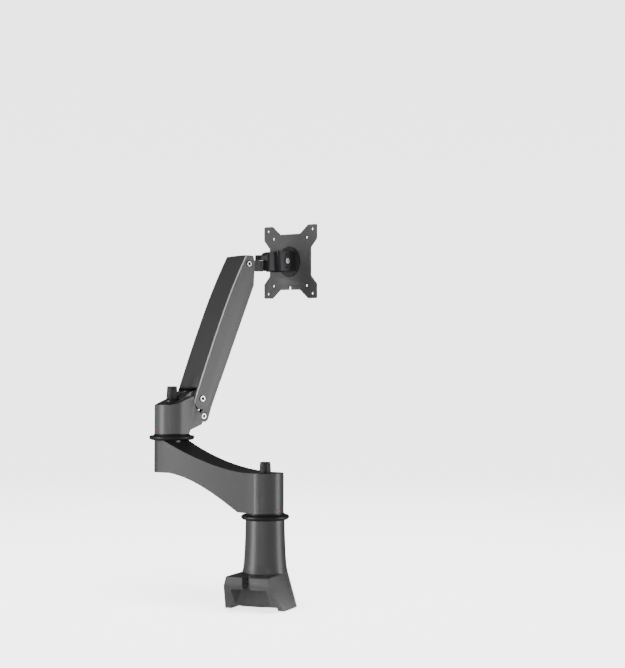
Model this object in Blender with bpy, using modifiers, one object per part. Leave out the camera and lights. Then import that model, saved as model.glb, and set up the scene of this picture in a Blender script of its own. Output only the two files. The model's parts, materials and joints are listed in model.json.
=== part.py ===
"""Monitor arm: a wedge-footed post, a swivelling lower link, a gas-spring arm and a tilting VESA head.

Sizes are in millimetres and turned into metres where a mesh is made. +Z is up and the post stands on
the Z axis. The origin is the middle of the foot's flat seat, and the foot's nose points along -Y.
"""

import math

import bmesh
import bpy
from mathutils import Matrix

MM = 0.001
GAP = 0.3

# Heights of the stack on the post
SEAT_Z = 0.0
LIP_Z = -4.5
DECK_Z = 41.0
POST_TOP_Z = 110.6
COLLAR_HEIGHT = 8.8
LINK_LOW_TOP_Z = 173.5
LINK_HIGH_BOTTOM_Z = 167.8
LINK_HIGH_TOP_Z = 213.3
KNUCKLE_BOTTOM_Z = 222.7

# Plan: where each swivel is and how it is turned, in degrees from +X
LINK_LENGTH = 185.0
LINK_TURN = 160.6
ARM_TURN = 66.7

# Swivel shafts, their bushes and collars
SHAFT_R, SHAFT_BORE_R = 15.0, 12.0
BUSH_R = 18.0
JOINT_R = 25.0
COLLAR_R = 32.5

# Parallelogram, in the knuckle's frame (forward, up)
LIFT_PIVOT = (37.5, 273.0)
BAR_OFFSET = (7.0, -25.5)
ARM_LENGTH = 222.0
ARM_RISE = 66.0
ARM_HALF, WALL, CROWN = 23.0, 3.2, 3.5
BAR_HALF = 19.5
TONGUE_HALF = 15.9
BOLT_R, SOCKET_R, SWIVEL_R = 4.0, 2.9, 3.0

# Gas spring: lower pin below the lift pivot, upper pin inside the arm
SPRING_LOW = 12.8
SPRING_HIGH = (178.0, 1.5)

# Head, measured forward from the head pivot, level
BARREL_X, BARREL_R = 42.7, 6.6
BARREL_BOTTOM, BARREL_TOP = -6.8, 8.5
LUG_R, LUG_BOTTOM, LUG_TOP = 6.6, 10.2, 17.7
TILT_X, TILT_Z = 87.2, 11.2
BLOCK_HALF, BLOCK_HEIGHT = 16.5, 31.0
VESA_X = 107.7
TILT_POSE, TURN_POSE = 2.5, 2.5
VESA_HOLES = 50.0
VESA_SMALL_HOLES = 37.5
PLATE_THICKNESS = 2.5
DISC_R = 23.75

PARTS, TOOLS = "Monitor arm", "Cutters"


# ---------------------------------------------------------------- scene and materials


def clear_scene():
    for obj in list(bpy.data.objects):
        bpy.data.objects.remove(obj, do_unlink=True)


def collection(name):
    made = bpy.data.collections.new(name)
    bpy.context.scene.collection.children.link(made)
    return made


def material(name, colour, roughness, metallic):
    made = bpy.data.materials.new(name)
    made.use_nodes = True
    shader = made.node_tree.nodes["Principled BSDF"]
    shader.inputs["Base Color"].default_value = (*colour, 1.0)
    shader.inputs["Roughness"].default_value = roughness
    shader.inputs["Metallic"].default_value = metallic
    return made


def make_materials():
    return {
        "graphite": material("graphite_coat", (0.13, 0.13, 0.135), 0.5, 0.3),
        "charcoal": material("charcoal_coat", (0.06, 0.06, 0.065), 0.5, 0.3),
        "plate": material("plate_coat", (0.11, 0.11, 0.115), 0.5, 0.3),
        "black": material("black_plastic", (0.02, 0.02, 0.021), 0.5, 0.0),
        "enamel": material("black_enamel", (0.015, 0.015, 0.016), 0.3, 0.3),
        "zinc": material("zinc_steel", (0.78, 0.79, 0.8), 0.28, 1.0),
        "steel": material("dark_steel", (0.32, 0.32, 0.33), 0.35, 1.0),
        "acetal": material("white_acetal", (0.8, 0.79, 0.75), 0.4, 0.0),
        "red": material("red_mark", (0.55, 0.05, 0.06), 0.45, 0.0),
    }


def frame(name, parent, place, turn=0.0, axis="Z"):
    """An empty on a joint's axis: place in mm in the parent's frame, turn in degrees."""
    empty = bpy.data.objects.new(name, None)
    empty.empty_display_size = 0.02
    empty.parent = parent
    empty.location = [MM * value for value in place]
    empty.rotation_euler["XYZ".index(axis)] = math.radians(turn)
    bpy.data.collections[PARTS].objects.link(empty)
    return empty


# ---------------------------------------------------------------- outlines, in mm


def arc(centre, radius, start, end, steps):
    """Points of an arc from start to end, in degrees, both ends included."""
    angles = [math.radians(start + (end - start) * i / steps) for i in range(steps + 1)]
    return [(centre[0] + radius * math.cos(a), centre[1] + radius * math.sin(a)) for a in angles]


def circle(centre, radius, steps=16):
    return arc(centre, radius, 0, 360, steps)[:-1]


def hull(points):
    """Convex outline round the points, counter-clockwise."""
    ordered = sorted(set(points))

    def chain(run):
        kept = []
        for x, y in run:
            while len(kept) > 1:
                (ax, ay), (bx, by) = kept[-2:]
                if (bx - ax) * (y - ay) - (by - ay) * (x - ax) > 1e-9:
                    break
                kept.pop()
            kept.append((x, y))
        return kept[:-1]

    return chain(ordered) + chain(ordered[::-1])


def rounded(corners, steps=3):
    """An outline from (x, y, radius) corners, each rounded by an arc."""
    points = []
    for i, (x, y, radius) in enumerate(corners):
        (ax, ay, _), (bx, by, _) = corners[i - 1], corners[(i + 1) % len(corners)]
        if not radius:
            points.append((x, y))
            continue
        before, after = math.atan2(ay - y, ax - x), math.atan2(by - y, bx - x)
        turn = (after - before + math.pi) % (2 * math.pi) - math.pi
        reach = radius / math.tan(abs(turn) / 2)
        middle = before + turn / 2
        depth = math.hypot(reach, radius)
        centre = (x + depth * math.cos(middle), y + depth * math.sin(middle))
        first = (x + reach * math.cos(before), y + reach * math.sin(before))
        start = math.atan2(first[1] - centre[1], first[0] - centre[0])
        sweep = math.copysign(math.pi - abs(turn), -turn)
        for j in range(steps + 1):
            angle = start + sweep * j / steps
            points.append((centre[0] + radius * math.cos(angle), centre[1] + radius * math.sin(angle)))
    return points


# ---------------------------------------------------------------- meshes


def baked(obj):
    """The evaluated mesh of a helper object, welded, with its faces pointing out. The helper is removed."""
    bpy.context.scene.collection.objects.link(obj)
    graph = bpy.context.evaluated_depsgraph_get()
    mesh = bpy.data.meshes.new_from_object(obj.evaluated_get(graph))
    bpy.data.objects.remove(obj, do_unlink=True)
    shape = bmesh.new()
    shape.from_mesh(mesh)
    bmesh.ops.remove_doubles(shape, verts=shape.verts, dist=1e-7)
    bmesh.ops.recalc_face_normals(shape, faces=shape.faces)
    shape.to_mesh(mesh)
    shape.free()
    return mesh


def moved(mesh, matrix):
    """The mesh after a matrix, with its faces still pointing out."""
    mesh.transform(matrix)
    if matrix.determinant() < 0:
        mesh.flip_normals()
    return mesh


def smooth(mesh, angle=35.0):
    mesh.shade_smooth()
    mesh.set_sharp_from_angle(angle=math.radians(angle))
    return mesh


SIDEWAYS = Matrix(((1, 0, 0, 0), (0, 0, 1, 0), (0, 1, 0, 0), (0, 0, 0, 1)))
FACING = Matrix(((0, 0, 1, 0), (1, 0, 0, 0), (0, 1, 0, 0), (0, 0, 0, 1)))
PLANES = {"XY": Matrix(), "XZ": SIDEWAYS, "YZ": FACING}


def prism(outline, low, high, plane="XY", holes=()):
    """A flat outline in the named plane, extruded from low to high along the third axis."""
    curve = bpy.data.curves.new("outline", "CURVE")
    curve.dimensions = "2D"
    curve.fill_mode = "BOTH"
    curve.extrude = MM * (high - low) / 2
    for loop in (outline, *holes):
        spline = curve.splines.new("POLY")
        spline.points.add(len(loop) - 1)
        for point, (a, b) in zip(spline.points, loop):
            point.co = (MM * a, MM * b, 0, 1)
        spline.use_cyclic_u = True
    mesh = baked(bpy.data.objects.new("outline", curve))
    lift = Matrix.Translation((0, 0, MM * (low + high) / 2))
    return smooth(moved(mesh, PLANES[plane] @ lift))


def along(mesh, axis):
    """Turns a mesh made along +Z so that it runs along another axis."""
    if axis == "X":
        return moved(mesh, Matrix.Rotation(math.pi / 2, 4, "Y"))
    if axis == "Y":
        return moved(mesh, Matrix.Rotation(-math.pi / 2, 4, "X"))
    return mesh


def rod(radius, low, high, axis="Z", at=(0, 0, 0), steps=24, end_radius=None):
    """A cylinder, or a cone, from low to high along an axis through the point at."""
    shape = bmesh.new()
    top = radius if end_radius is None else end_radius
    bmesh.ops.create_cone(
        shape, cap_ends=True, segments=steps, radius1=MM * radius, radius2=MM * top, depth=MM * (high - low)
    )
    bmesh.ops.translate(shape, verts=shape.verts, vec=(0, 0, MM * (low + high) / 2))
    mesh = bpy.data.meshes.new("rod")
    shape.to_mesh(mesh)
    shape.free()
    along(mesh, axis)
    return smooth(moved(mesh, Matrix.Translation([MM * value for value in at])))


def box(x, y, z):
    """A box from three (low, high) pairs."""
    shape = bmesh.new()
    bmesh.ops.create_cube(shape, size=1.0)
    for vert in shape.verts:
        vert.co = [MM * pair[value > 0] for pair, value in zip((x, y, z), vert.co)]
    mesh = bpy.data.meshes.new("box")
    shape.to_mesh(mesh)
    shape.free()
    return mesh


def turned(profile, steps=32, axis="Z", ring=False):
    """A (radius, height) profile turned round the axis. A ring's profile is a closed loop off the axis."""
    mesh = bpy.data.meshes.new("profile")
    count = len(profile)
    edges = [(i, i + 1) for i in range(count - 1)] + ([(count - 1, 0)] if ring else [])
    mesh.from_pydata([(MM * r, 0, MM * z) for r, z in profile], edges, [])
    obj = bpy.data.objects.new("profile", mesh)
    screw = obj.modifiers.new("Screw", "SCREW")
    screw.steps = screw.render_steps = steps
    screw.use_merge_vertices = True
    screw.merge_threshold = 1e-5
    return smooth(along(baked(obj), axis))


def loft(sections):
    """A closed skin through rings of points, all with the same number of points, capped at both ends."""
    shape = bmesh.new()
    rings = [[shape.verts.new([MM * v for v in point]) for point in ring] for ring in sections]
    count = len(rings[0])
    for ring, following in zip(rings, rings[1:]):
        for i in range(count):
            j = (i + 1) % count
            shape.faces.new((ring[i], ring[j], following[j], following[i]))
    shape.faces.new(rings[0][::-1])
    shape.faces.new(rings[-1])
    bmesh.ops.recalc_face_normals(shape, faces=shape.faces)
    mesh = bpy.data.meshes.new("loft")
    shape.to_mesh(mesh)
    shape.free()
    return smooth(mesh, 20)


# ---------------------------------------------------------------- objects


def piece(name, mesh, paint, parent):
    obj = bpy.data.objects.new(name, mesh)
    mesh.materials.clear()
    mesh.materials.append(paint)
    obj.parent = parent
    bpy.data.collections[PARTS].objects.link(obj)
    return obj


def shaped(obj, operation, *meshes):
    """Adds one Boolean per mesh to a piece. The meshes are in the piece's own frame."""
    for mesh in meshes:
        tool = bpy.data.objects.new(f"{obj.name}_{operation.lower()}", mesh)
        tool.parent = obj
        tool.hide_render = True
        tool.display_type = "WIRE"
        bpy.data.collections[TOOLS].objects.link(tool)
        modifier = obj.modifiers.new(operation.title(), "BOOLEAN")
        modifier.operation = operation
        modifier.object = tool
    return obj


def cut(obj, *meshes):
    return shaped(obj, "DIFFERENCE", *meshes)


def join(obj, *meshes):
    return shaped(obj, "UNION", *meshes)


def keep(obj, *meshes):
    return shaped(obj, "INTERSECT", *meshes)


def hexagon(radius, low, high, axis="Z", at=(0, 0, 0)):
    return rod(radius, low, high, axis, at, steps=6)


# ---------------------------------------------------------------- base


def make_base(paints, root):
    post = [(0, POST_TOP_Z), (26.3, POST_TOP_Z), (26.6, 95), (27.2, 78), (28.3, 58), (30, 44)]
    skirt = [(33.6, 30), (38, 14), (43, LIP_Z), (0, LIP_Z)]
    casting = piece("base_casting", turned(post + skirt, 48), paints["graphite"], root)

    nose = arc((-57.4, DECK_Z - 1.6), 1.6, 90, 180, 3) + arc((-51.5, 31.5), 7.5, 180, 214, 4)
    side = [(0, LIP_Z), (0, DECK_Z)] + nose + [(-33.5, LIP_Z)]
    front = loft([[(sign * flare(z), y, z) for y, z in side] for sign in (-1, 1)])
    join(casting, front)

    pocket = [(-80, 24), (-16, 24), (-39.6, 0), (-39.6, -8), (-80, -8)]
    screw_x, screw_z = -1.5, 32.5
    cut(
        casting,
        prism(pocket, -25.5, 25.5, "YZ"),
        box((-33.5, 33.5), (-70, 70), (LIP_Z - 3, SEAT_Z)),
        box((screw_x - 5, screw_x + 5), (-70, -41), (20, 50)),
        rod(5.4, -70, -37, "Y", (screw_x, 0, screw_z)),
        rod(3.3, -37.5, -12, "Y", (screw_x, 0, screw_z), 16),
        rod(SHAFT_R + GAP, 42, POST_TOP_Z + 5, steps=32),
        rod(3.3, 12, 35, "Y", (0, 0, 80), 16),
    )

    screw_head = rod(5, -42.6, -37 - GAP, "Y", (screw_x, 0, screw_z))
    cap_screw = piece("foot_screw", screw_head, paints["zinc"], root)
    join(cap_screw, rod(3, -38, -13, "Y", (screw_x, 0, screw_z), 16))
    cut(cap_screw, hexagon(2.6, -45, -39.6, "Y", (screw_x, 0, screw_z)))

    grub = piece("post_set_screw", rod(3, SHAFT_R + 0.6, 26.4, "Y", (0, 0, 80), 16), paints["steel"], root)
    cut(grub, hexagon(1.7, 22.5, 30, "Y", (0, 0, 80)))

    swivel_set("base", paints, root, 42 + GAP, 158.0, POST_TOP_Z)


def flare(z):
    """Half-width of the foot at a height: it widens evenly from the deck down to the lips."""
    return 30.0 + 13.0 * (DECK_Z - z) / (DECK_Z - LIP_Z)


def swivel_set(name, paints, parent, shaft_bottom, shaft_top, collar_bottom):
    """Shaft, threaded end plug and collar of one swivel, about the parent's Z axis."""
    tube = [(SHAFT_R, shaft_top), (SHAFT_R, shaft_bottom)]
    tube += [(SHAFT_BORE_R, shaft_bottom), (SHAFT_BORE_R, shaft_top)]
    piece(f"{name}_shaft", turned(tube, 32, ring=True), paints["steel"], parent)
    outer, inner = SHAFT_BORE_R - GAP, BOLT_R + GAP
    plug = [(outer, shaft_top), (outer, shaft_top - 12), (inner, shaft_top - 12), (inner, shaft_top)]
    piece(f"{name}_shaft_plug", turned(plug, 24, ring=True), paints["steel"], parent)
    low = collar_bottom + GAP
    rim = [(26.0, low + COLLAR_HEIGHT), (26.4, low + 7.1), (31.0, low + 6.5), (COLLAR_R, low + 3.9)]
    rim += [(31.4, low + 1.5), (28.0, low)]
    bore = [(SHAFT_R + 0.4, low), (SHAFT_R + 0.4, low + COLLAR_HEIGHT)]
    piece(f"{name}_collar", turned(rim + bore, 48, ring=True), paints["black"], parent)


def bushes(name, paints, parent, spans):
    for label, (low, high) in zip(("low", "high"), spans):
        sleeve = [(BUSH_R, high), (BUSH_R, low), (SHAFT_R + GAP, low), (SHAFT_R + GAP, high)]
        piece(f"{name}_bush_{label}", turned(sleeve, 32, ring=True), paints["acetal"], parent)


def index_mark(name, paints, parent, height):
    """Red plug set into the round end, opposite the way the body points."""
    piece(name, rod(1.7, -JOINT_R - 0.25, -JOINT_R + 2.2, "X", (0, 0, height), 12), paints["red"], parent)
    return rod(2.0, -JOINT_R - 3, -JOINT_R + 2.5, "X", (0, 0, height), 12)


# ---------------------------------------------------------------- lower link


def link_top(x):
    share = min(max((x - 10) / 166, 0), 1)
    return LINK_LOW_TOP_Z + (LINK_HIGH_TOP_Z - LINK_LOW_TOP_Z) * share**1.75


def link_bottom(x):
    share = min(max((x - 30) / 135, 0), 1)
    low = POST_TOP_Z + COLLAR_HEIGHT + 2 * GAP
    return low + (LINK_HIGH_BOTTOM_Z - low) * (1.35 * share - 0.35 * share**3)


def make_lower_link(paints, joint):
    """Plan outline with hollow flanks, met with the S-shaped side outline."""
    waist = 21.0
    half_length = LINK_LENGTH / 2
    flank_r = (JOINT_R**2 - half_length**2 - waist**2) / (2 * (waist - JOINT_R))
    lean = math.degrees(math.atan2(half_length, flank_r + waist))
    left = arc((LINK_LENGTH, 0), JOINT_R, lean - 90, 90 - lean, 14)
    right = arc((0, 0), JOINT_R, 90 + lean, 270 - lean, 14)
    far = arc((half_length, waist + flank_r), flank_r, -90 + lean, -90 - lean, 6)[1:-1]
    near = arc((half_length, -waist - flank_r), flank_r, 90 + lean, 90 - lean, 6)[1:-1]
    casting = piece("lower_link", prism(left + far + right + near, 100, 230), paints["graphite"], joint)

    ends = (-JOINT_R - 2, LINK_LENGTH + JOINT_R + 2)
    top_x = [10 + 166 * i / 10 for i in range(11)]
    bottom_x = [165 - 135 * i / 9 for i in range(10)]
    upper = [(ends[0], link_top(0))] + [(x, link_top(x)) for x in top_x] + [(ends[1], LINK_HIGH_TOP_Z)]
    lower = [(ends[1], LINK_HIGH_BOTTOM_Z)] + [(x, link_bottom(x)) for x in bottom_x]
    lower += [(ends[0], link_bottom(0))]
    keep(casting, prism(upper + lower, -40, 40, "XZ"))

    pockets = []
    for start, end in ((29, 90), (95, 156)):
        sections = []
        for x in (start, (start + end) / 2, end):
            half = waist + flank_r - math.sqrt(flank_r**2 - (x - half_length) ** 2) - 4.5
            roof = link_top(x) - 6
            sections.append([(x, -half, 100), (x, half, 100), (x, half, roof), (x, -half, roof)])
        pockets.append(loft(sections))
    mark_hole = index_mark("lower_index_mark", paints, joint, 123.2)
    cut(
        casting,
        *pockets,
        rod(BUSH_R + GAP, 100, 160, steps=32),
        rod(BOLT_R + 0.4, 159, 180, steps=16),
        rod(10.0, 164.4, 180),
        rod(SHAFT_R + GAP, 176, 230, at=(LINK_LENGTH, 0, 0), steps=32),
        mark_hole,
    )
    bushes("lower", paints, joint, ((121, 138), (141, 158)))


def make_knob(name, paints, joint, base):
    """Ribbed lock knob and the stud that it turns, both about the joint's Z axis."""
    sides = [(6.4, base + 23.4), (7.2, base + 22.6), (8.2, base + 5.2), (9.3, base + 3.0), (9.3, base)]
    body = [(0, base + 23.4)] + sides + [(0, base)]
    knob = piece(name, turned(body, 28), paints["black"], joint)
    cut(knob, rod(BOLT_R + GAP, base - 2, base + 14, steps=16))
    piece(f"{name}_stud", rod(BOLT_R, base - 18, base + 13.6, steps=16), paints["steel"], joint)


# ---------------------------------------------------------------- knuckle


def make_knuckle(paints, joint):
    pivot_x, pivot_z = LIFT_PIVOT
    bar_x, bar_z = pivot_x + BAR_OFFSET[0], pivot_z + BAR_OFFSET[1]
    cheek = ARM_HALF + 0.4
    plan = arc((0, 0), JOINT_R, 88, 272, 20) + [(44, -cheek), (44, cheek)]
    casting = piece("knuckle", prism(plan, 200, 300), paints["graphite"], joint)
    low = KNUCKLE_BOTTOM_Z
    side = [(-30, low), (12, low), (15, low + 5.6), (36.7, low + 13)]
    side += arc((bar_x, bar_z), 8.9, 225, 165, 4)
    side += [(24.5, 260), (21.4, 267), (21.4, 276.4), (11, 273.5), (0, 269.3), (-13, 265), (-30, 264)]
    keep(casting, prism(side, -40, 40, "XZ"))

    eyes = circle(LIFT_PIVOT, 13.3, 28) + circle((bar_x, bar_z), 8.0, 20) + circle((24, 278), 5.5, 12)
    tongue = hull(eyes + [(6, 230), (6, 272)])
    join(casting, prism(tongue, -TONGUE_HALF, TONGUE_HALF, "XZ"))

    spring_x, spring_z = spring_foot()
    mark_hole = index_mark("upper_index_mark", paints, joint, 225.8)
    cut(
        casting,
        prism([(27, 310), (27, 250.5), (41, 250.5), (52, 243), (70, 243), (70, 310)], -7, 7, "XZ"),
        rod(6.2, -30, 30, "Y", (spring_x, 0, spring_z), 32),
        rod(BOLT_R + GAP, -30, 30, "Y", (pivot_x, 0, pivot_z), 16),
        rod(BOLT_R + GAP, -30, 30, "Y", (bar_x, 0, bar_z), 16),
        rod(BUSH_R + GAP, 200, 252, steps=32),
        rod(BOLT_R + 0.4, 251, 290, steps=16),
        rod(10.6, 267.3, 300),
        rod(4.2, 256, 300, at=(20.5, 0, 0), steps=16),
        mark_hole,
    )
    bushes("upper", paints, joint, ((223, 236), (238.5, 251.5)))

    screw = piece("tension_screw", rod(3.9, 257, 277.5, at=(20.5, 0, 0), steps=16), paints["steel"], joint)
    cut(screw, hexagon(2.4, 272, 285, at=(20.5, 0, 0)))

    for label, sign in (("right", -1), ("left", 1)):
        side_bolt(f"lift_bolt_{label}", paints, joint, (pivot_x, pivot_z), sign, ARM_HALF, sign * 7.6)
        side_bolt(f"bar_bolt_{label}", paints, joint, (bar_x, bar_z), sign, BAR_HALF - 2.2, sign * 7.6)
        spacer(f"lift_spacer_{label}", paints, joint, (pivot_x, pivot_z), sign)


def spring_foot():
    """Lower pin of the gas spring: on the line from the lift pivot to the bar pivot."""
    share = SPRING_LOW / math.hypot(*BAR_OFFSET)
    return LIFT_PIVOT[0] + share * BAR_OFFSET[0], LIFT_PIVOT[1] + share * BAR_OFFSET[1]


def side_bolt(name, paints, parent, place, sign, face, reach):
    """Socket-headed shoulder bolt on one side. Its shank runs inwards as far as reach, a signed Y."""
    at = (place[0], 0, place[1])
    head = sorted((sign * (face + GAP), sign * (face + 1.9)))
    shank = sorted((sign * (face + 1), reach))
    bolt = piece(name, rod(4.9, *head, "Y", at), paints["zinc"], parent)
    join(bolt, rod(BOLT_R, *shank, "Y", at, 16))
    cut(bolt, hexagon(SOCKET_R, *sorted((sign * (face + 0.4), sign * (face + 5))), "Y", at))


def spacer(name, paints, parent, place, sign):
    low, high = sorted((sign * (TONGUE_HALF + GAP), sign * (ARM_HALF - WALL - GAP)))
    ring = [(6.5, high), (6.5, low), (BOLT_R + GAP, low), (BOLT_R + GAP, high)]
    mesh = moved(turned(ring, 20, "Y", ring=True), shift(place))
    piece(name, mesh, paints["acetal"], parent)


def nut(name, paints, parent, place, face, end):
    mesh = prism(circle((0, 0), 5.4, 6), face + GAP, end, "XZ", [circle((0, 0), BOLT_R + GAP)])
    mesh = moved(mesh, shift(place))
    piece(name, mesh, paints["zinc"], parent)


def shift(place):
    return Matrix.Translation((MM * place[0], 0, MM * place[1]))


# ---------------------------------------------------------------- spring arm


def arm_border(x):
    """Height of the side walls' back edge above the pivot line: highest in the middle of the arm."""
    drop, length = (3.0, 126.0) if x < 130 else (5.4, 99.0)
    return 15.0 - drop * ((x - 130) / length) ** 2


def make_arm(paints, joint):
    stations = [-30, 4, 34, 66, 98, 130, 163, 185, 208, 230, 252]

    def section(x):
        border = arm_border(x)
        flat = 1 + max(x - 163, 0) * 0.17
        columns = [flat + (ARM_HALF - 1 - flat) * i / 3 for i in range(4)]
        back = [(x, y, border + CROWN * (1 - (y / ARM_HALF) ** 2)) for y in columns]
        mirrored = [(x, -y, z) for _, y, z in reversed(back)]
        edges = [(x, -ARM_HALF, border - 1), (x, ARM_HALF, border - 1)]
        return [(x, -ARM_HALF, -40), edges[0], *mirrored, *back, edges[1], (x, ARM_HALF, -40)]

    shell = piece("arm_shell", loft([section(x) for x in stations]), paints["graphite"], joint)
    lower_end = arc((0, 0), 15.5, 100, 272, 12)
    front = [(33, -19.2), (38.5, -21.5), (197, -22.6), (229.5, -10.5)]
    tip = [(236.5, -4.5), (237.4, -2.4), (223, 30), (0, 30)]
    keep(shell, prism(lower_end + front + tip, -40, 40, "XZ"))

    ceiling = [(x, arm_border(x) - 1.6) for x in (12, 40, 70, 100, 130, 160, 190, 215, 245)]
    inside = [(-40, 40), (12, 40), *ceiling, (260, -60), (-40, -60)]
    inner = ARM_HALF - WALL
    cut(
        shell,
        prism(inside, -inner, inner, "XZ"),
        rod(BOLT_R + GAP, -40, 40, "Y", steps=20),
        rod(BOLT_R + GAP, -40, 40, "Y", (ARM_LENGTH, 0, 0), 20),
        rod(3.8, -21.8, 21.8, "Y", (SPRING_HIGH[0], 0, SPRING_HIGH[1]), 16),
    )

    head = (ARM_LENGTH, 0)
    side_bolt("head_bolt", paints, joint, head, -1, ARM_HALF, 25.8)
    nut("head_nut", paints, joint, head, ARM_HALF, 26.0)
    for label, sign in (("right", -1), ("left", 1)):
        spacer(f"head_spacer_{label}", paints, joint, head, sign)
    pin = rod(3.5, -21.5, 21.5, "Y", (SPRING_HIGH[0], 0, SPRING_HIGH[1]), 16)
    piece("spring_pin_high", pin, paints["steel"], joint)


def make_lower_bar(paints, joint):
    """Channel bar: web on its front, flanges that carry the two eyes."""
    body = [(0, 2), (0, -7.1), (200, -7.1), (ARM_LENGTH, -5), (ARM_LENGTH, 2)]
    outline = hull(circle((0, 0), 8.4, 24) + [(0, -7.1), (18, -7.1), (18, 2)])
    bar = piece("lower_bar", prism(outline, -BAR_HALF, BAR_HALF, "XZ"), paints["graphite"], joint)
    join(
        bar,
        prism(body, -BAR_HALF, BAR_HALF, "XZ"),
        prism(circle((ARM_LENGTH, 0), 6.6, 24), -BAR_HALF, BAR_HALF, "XZ"),
    )
    inner = BAR_HALF - WALL
    hollow = [(-12, 12), (-12, -12), (18, -12), (18, -4.6), (212, -4.6), (212, -12), (234, -12), (234, 12)]
    cut(
        bar,
        prism(hollow, -inner, inner, "XZ"),
        rod(BOLT_R + GAP, -30, 30, "Y", steps=16),
        rod(BOLT_R + GAP, -30, 30, "Y", (ARM_LENGTH, 0, 0), 16),
        rod(5.4, -30, 2.2 - BAR_HALF, "Y"),
        rod(5.4, BAR_HALF - 2.2, 30, "Y"),
    )
    pin = rod(BOLT_R, -BAR_HALF + 0.2, BAR_HALF - 0.2, "Y", (ARM_LENGTH, 0, 0), 16)
    piece("bar_pin_high", pin, paints["steel"], joint)


# ---------------------------------------------------------------- gas spring


def make_spring(paints, cylinder_joint, rod_joint, length):
    """Both joints are at the upper pin, +X pointing from the lower pin to the upper one."""
    shell = [(8, -12), (8, -125), (4.4, -125), (4.4, -122), (6.8, -122), (6.8, -17), (0, -17)]
    outside = [(0, -12)] + shell
    cylinder = piece("gas_cylinder", turned(outside, 24, "X"), paints["enamel"], cylinder_joint)
    join(cylinder, rod(6.2, -5, 5, "Y"), box((-14, -3), (-4, 4), (-4, 4)))
    cut(cylinder, rod(3.8, -10, 10, "Y", steps=16))

    stem = [(0, -70), (6.5, -70), (6.5, -75), (BOLT_R, -75), (BOLT_R, 6.4 - length), (0, 6.4 - length)]
    piece("gas_rod", turned(stem, 20, "X"), paints["steel"], rod_joint)
    eye = piece("gas_rod_eye", rod(6.0, -4, 4, "Y", (-length, 0, 0)), paints["steel"], rod_joint)
    cut(eye, rod(3.3, -10, 10, "Y", (-length, 0, 0), 16), box((6.1 - length, 10 - length), (-9, 9), (-9, 9)))
    piece("spring_pin_low", rod(3.0, -13, 13, "Y", (-length, 0, 0), 16), paints["steel"], rod_joint)


# ---------------------------------------------------------------- head


def make_head_bracket(paints, joint):
    eyes = hull(circle((0, 0), 8.2, 24) + circle(BAR_OFFSET, 7.2, 24))
    bracket = piece("head_bracket", prism(eyes, -TONGUE_HALF, TONGUE_HALF, "XZ"), paints["charcoal"], joint)
    neck = [(0, BARREL_BOTTOM), (BARREL_X, BARREL_BOTTOM), (BARREL_X, BARREL_TOP), (18, BARREL_TOP)]
    neck += [(16, 5.5), (16, 0.4), (0, 0.4)]
    join(
        bracket,
        prism(neck, -6, 6, "XZ"),
        rod(BARREL_R, BARREL_BOTTOM, BARREL_TOP, at=(BARREL_X, 0, 0)),
    )
    cut(
        bracket,
        rod(BOLT_R + GAP, -30, 30, "Y", steps=16),
        rod(BOLT_R + GAP, -30, 30, "Y", (BAR_OFFSET[0], 0, BAR_OFFSET[1]), 16),
        rod(SWIVEL_R + GAP, -20, 30, at=(BARREL_X, 0, 0), steps=16),
        rod(4.8, -20, -3.8, at=(BARREL_X, 0, 0), steps=20),
    )
    bolt = piece("swivel_bolt", rod(4.4, -6.6, -4.1, at=(BARREL_X, 0, 0), steps=20), paints["zinc"], joint)
    join(bolt, rod(SWIVEL_R, -5, 15.6, at=(BARREL_X, 0, 0), steps=16))
    cut(bolt, hexagon(2.2, -9, -5.2, at=(BARREL_X, 0, 0)))
    low, high = BARREL_TOP + GAP, LUG_BOTTOM - GAP
    washer = [(6.2, high), (6.2, low), (SWIVEL_R + GAP, low), (SWIVEL_R + GAP, high)]
    ring = moved(turned(washer, 20, ring=True), Matrix.Translation((MM * BARREL_X, 0, 0)))
    piece("swivel_washer", ring, paints["acetal"], joint)


def make_head_link(paints, joint):
    """Lug over the barrel, a neck behind it and the tongue that carries the tilt pin."""
    tilt = (TILT_X - BARREL_X, TILT_Z)
    top = 24.6
    link = piece("head_link", rod(LUG_R, LUG_BOTTOM, LUG_TOP), paints["charcoal"], joint)
    plan = rounded([(11.6, -8.7, 3), (27.5, -8.7, 0), (27.5, 8.7, 0), (11.6, 8.7, 3)])
    roof = [(0, LUG_BOTTOM), (13, LUG_BOTTOM), (13, 21), (4.5, LUG_TOP), (0, LUG_TOP)]
    wedge = [(20, 60), (10, 60), (10, 21.4), (20, top), (30, top), (30, 60)]
    tongue = hull(circle(tilt, 12.3, 28) + [(25, -3.6), (25, 23)])
    join(
        link,
        prism(plan, -4.8, top),
        prism(roof, -LUG_R, LUG_R, "XZ"),
        prism(tongue, -7.3, 7.3, "XZ"),
    )
    cut(
        link,
        prism(wedge, -30, 30, "XZ"),
        rod(SWIVEL_R + GAP, 0, 16.0, steps=16),
        rod(6.5, -30, 30, "Y", (tilt[0], 0, tilt[1]), 20),
    )
    sleeve = [(6.2, 7.2), (6.2, -7.2), (5.0, -7.2), (5.0, 7.2)]
    piece("tilt_bush", moved(turned(sleeve, 20, "Y", ring=True), shift(tilt)), paints["acetal"], joint)


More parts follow.
